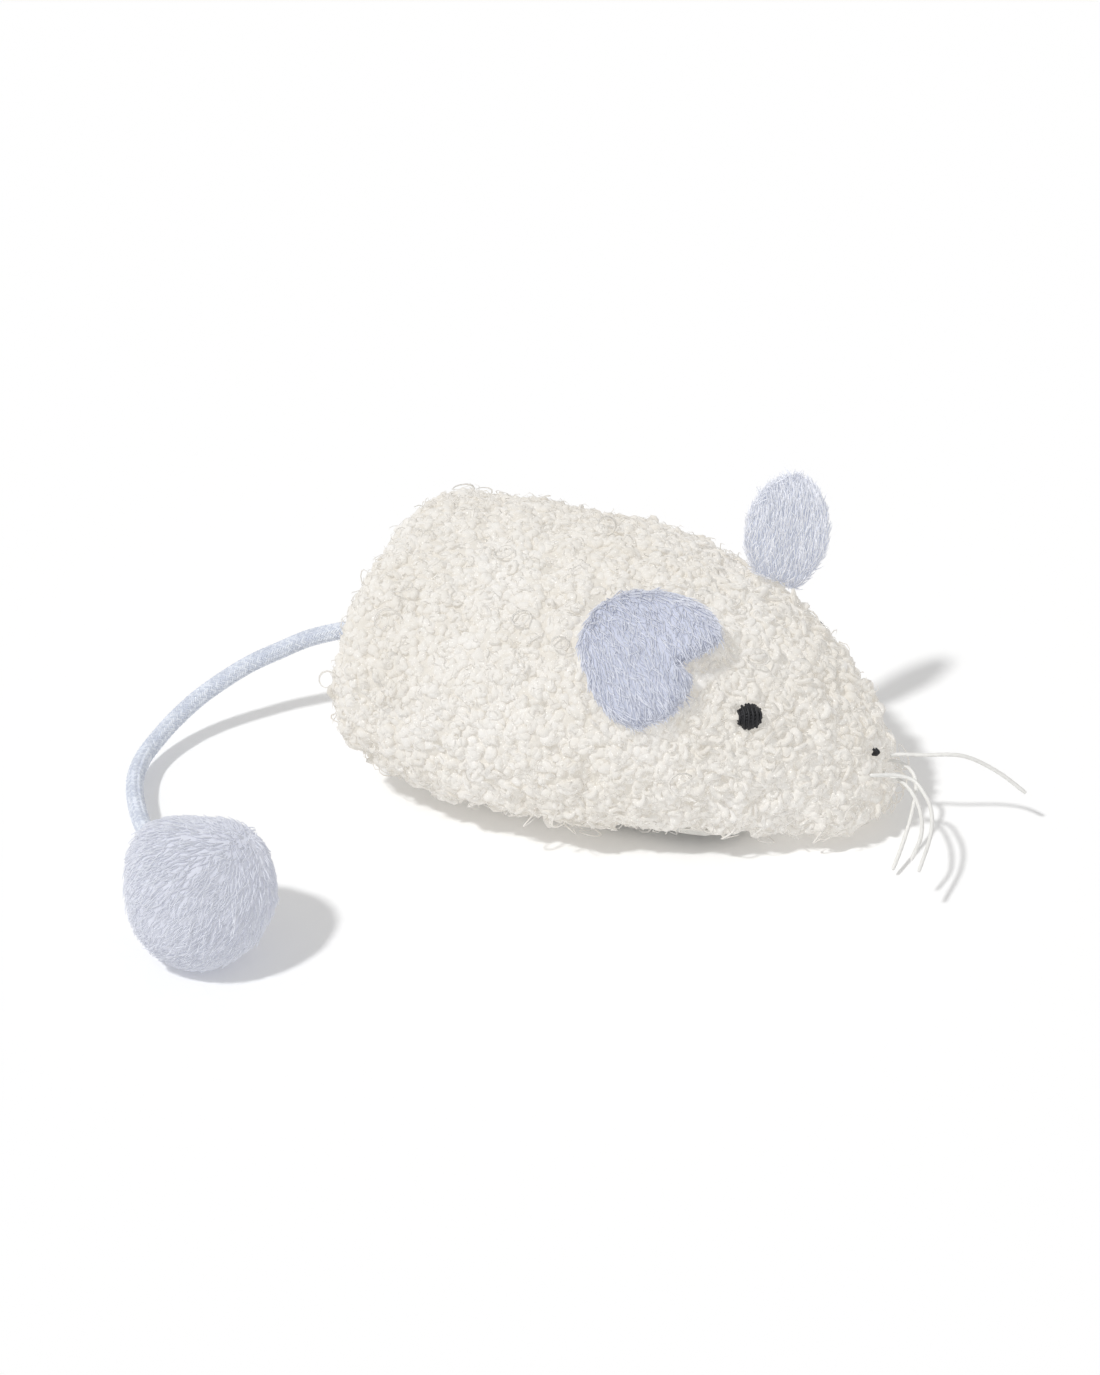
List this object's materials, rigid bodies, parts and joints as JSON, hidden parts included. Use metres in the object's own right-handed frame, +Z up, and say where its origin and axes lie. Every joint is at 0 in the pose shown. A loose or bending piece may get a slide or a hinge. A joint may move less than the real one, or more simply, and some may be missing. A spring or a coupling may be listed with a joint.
{
  "type": "wheeled mouse cat toy",
  "caption": "Plush mouse on a small free-rolling wheeled base, with padded ears, stiff thread whiskers and a braided cord tail that ends in a plush ball.",
  "frame": {"origin": "on the floor, under the middle of the toy without its tail: halfway from the rear of the body to the tips of the whiskers", "axes": "+X to the nose, +Y to the toy's left side, +Z up"},
  "size_m": [0.1649, 0.138, 0.0582],
  "materials": {
    "boucle": "curly off-white boucle",
    "plush": "short-pile light blue plush",
    "braid": "round braided cord",
    "embroidery": "black satin stitch",
    "waxed_thread": "waxed off-white thread",
    "wadding": "loose polyester filling",
    "moulding": "fine matt moulding",
    "soft_tyre": "soft matt elastomer",
    "steel": "plain bright steel"
  },
  "bodies": {
    "toy": {"eye_right": "embroidery", "eye_left": "embroidery", "nose_stitch": "embroidery", "body_panel_right": "boucle", "body_panel_left": "boucle", "belly_panel": "boucle", "stuffing": "wadding", "ear_right": "plush", "ear_left": "plush", "whisker_thread_upper": "waxed_thread", "whisker_thread_lower": "waxed_thread", "tail_root_knot": "braid", "tail_cord": "braid", "tail_end_knot": "braid", "tail_ball_cover": "plush", "tail_ball_filling": "wadding", "chassis_screw_front": "steel", "chassis_screw_rear": "steel", "chassis_screw_left": "steel", "chassis_screw_right": "steel", "chassis_base": "moulding", "chassis_cover": "moulding"},
    "front_wheels": {"front_axle": "steel", "wheel_front_left": "moulding", "wheel_front_right": "moulding", "tyre_front_left": "soft_tyre", "tyre_front_right": "soft_tyre"},
    "rear_wheels": {"rear_axle": "steel", "wheel_rear_left": "moulding", "wheel_rear_right": "moulding", "tyre_rear_left": "soft_tyre", "tyre_rear_right": "soft_tyre"}
  },
  "joints": [
    {"name": "front_roll", "type": "hinge", "parent": "toy", "child": "front_wheels", "pos_m": [-0.0005, 0, 0.00889], "axis": [0, 1, 0], "continuous": true},
    {"name": "rear_roll", "type": "hinge", "parent": "toy", "child": "rear_wheels", "pos_m": [-0.0325, 0, 0.00889], "axis": [0, 1, 0], "continuous": true}
  ]
}
